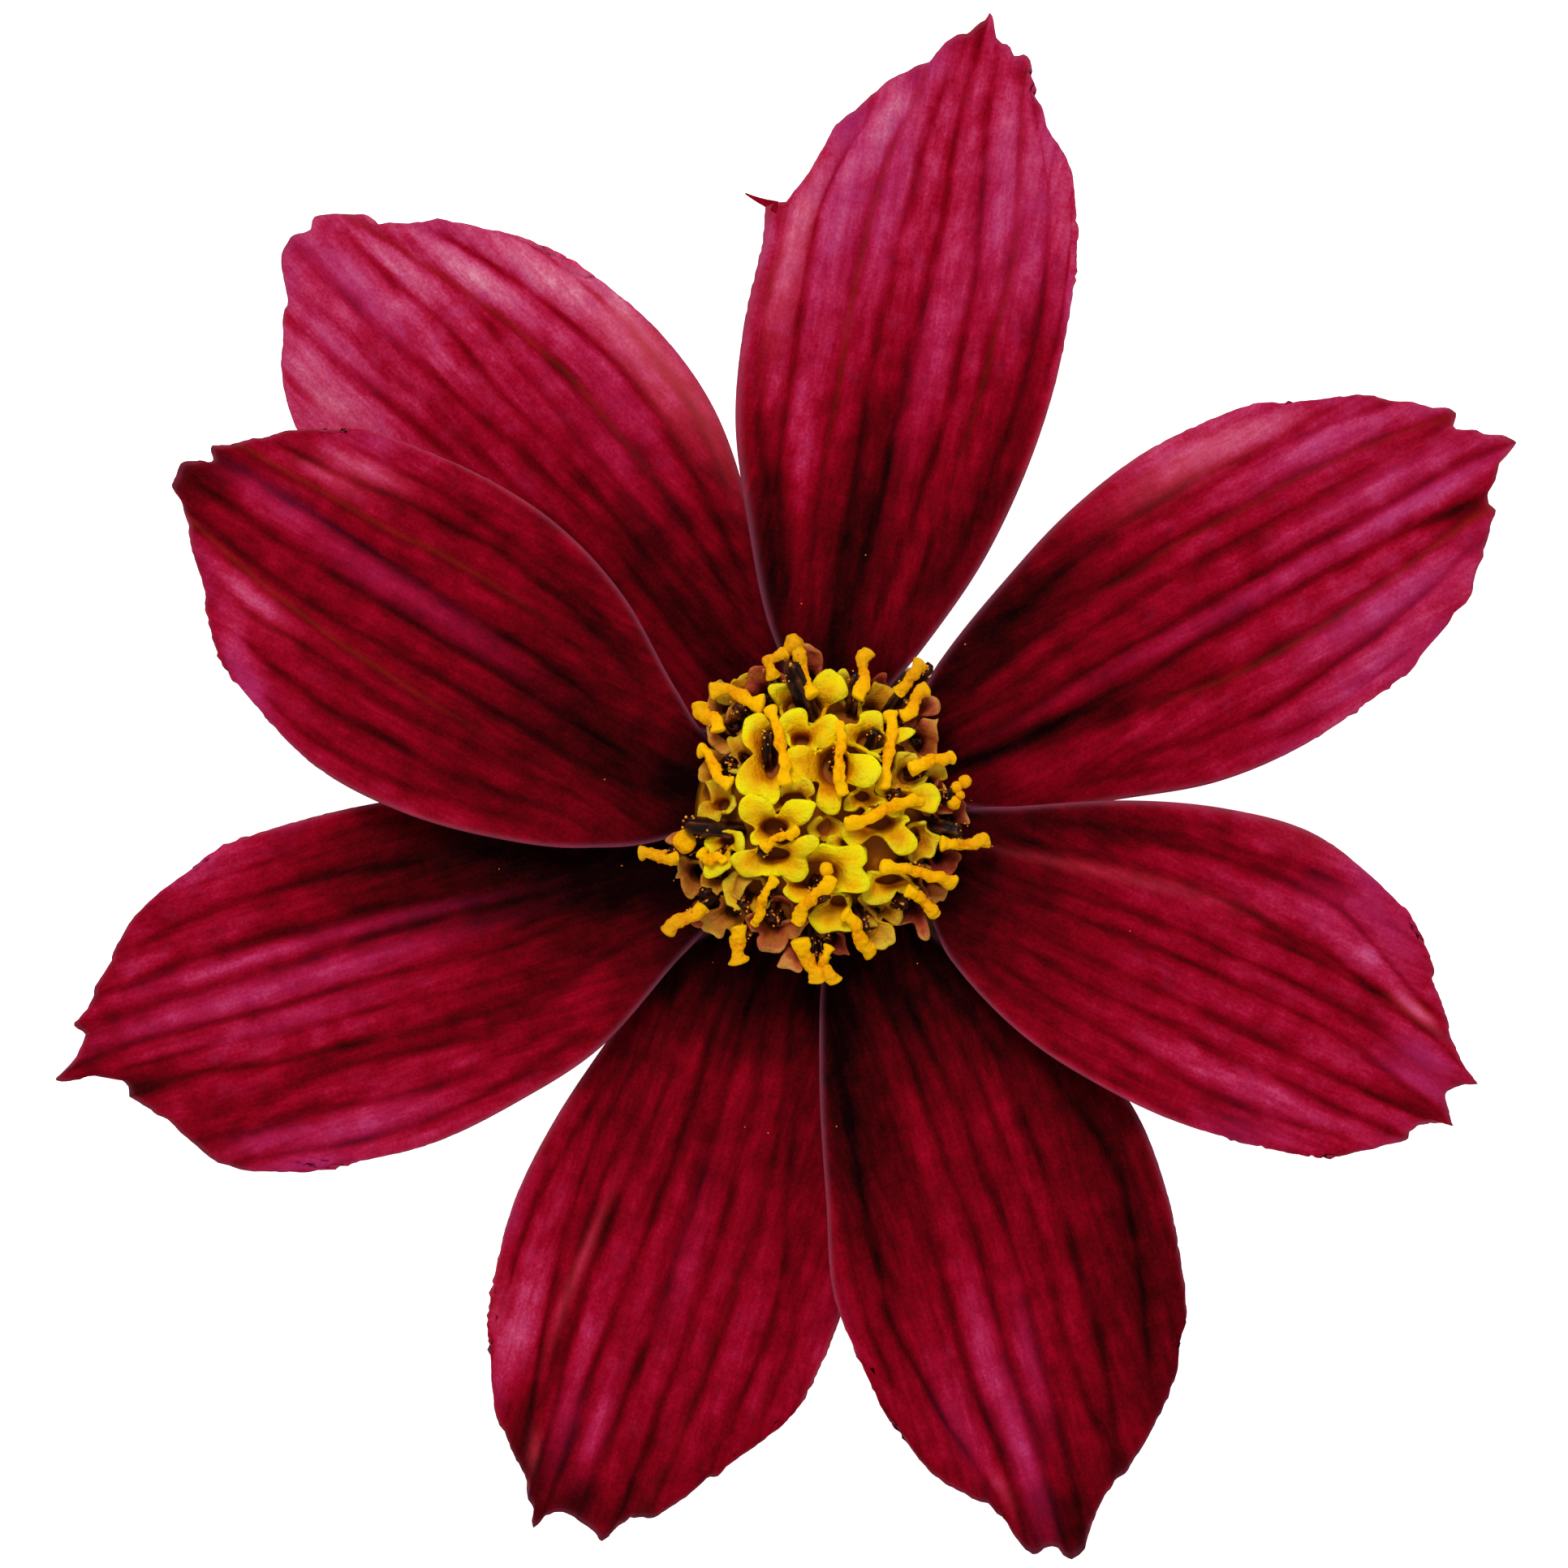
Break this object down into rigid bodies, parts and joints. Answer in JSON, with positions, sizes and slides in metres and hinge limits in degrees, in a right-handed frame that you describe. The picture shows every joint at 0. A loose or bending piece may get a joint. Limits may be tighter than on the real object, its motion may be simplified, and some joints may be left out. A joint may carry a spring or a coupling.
{
  "type": "threadleaf coreopsis flower head",
  "caption": "Single crimson daisy-like flower head, as picked, lying face up on its bracts: broad ribbed ray florets with toothed tips round a domed yellow disc.",
  "frame": {"origin": "on the flower's own axis, in the plane of the surface that it lies on", "axes": "+Z along the flower's axis, out of its face; +Y towards the tip of ray floret a, which points up in the picture; +X to the right in it"},
  "size_m": [0.0473, 0.0499, 0.01],
  "materials": {
    "petal_crimson": "velvety crimson petal, dark veins, pink towards the tip",
    "floret_yellow": "waxy yellow florets with golden style branches",
    "bract_olive": "dry olive-brown bract",
    "bract_green": "soft green bract"
  },
  "bodies": {
    "root": {"base_with_outer_bracts": "bract_green", "inner_bracts": "bract_olive", "disc_florets": "floret_yellow", "ray_floret_a": "petal_crimson", "ray_floret_b": "petal_crimson", "ray_floret_c": "petal_crimson", "ray_floret_d": "petal_crimson", "ray_floret_e": "petal_crimson", "ray_floret_f": "petal_crimson", "ray_floret_g": "petal_crimson", "ray_floret_h": "petal_crimson"}
  },
  "joints": []
}
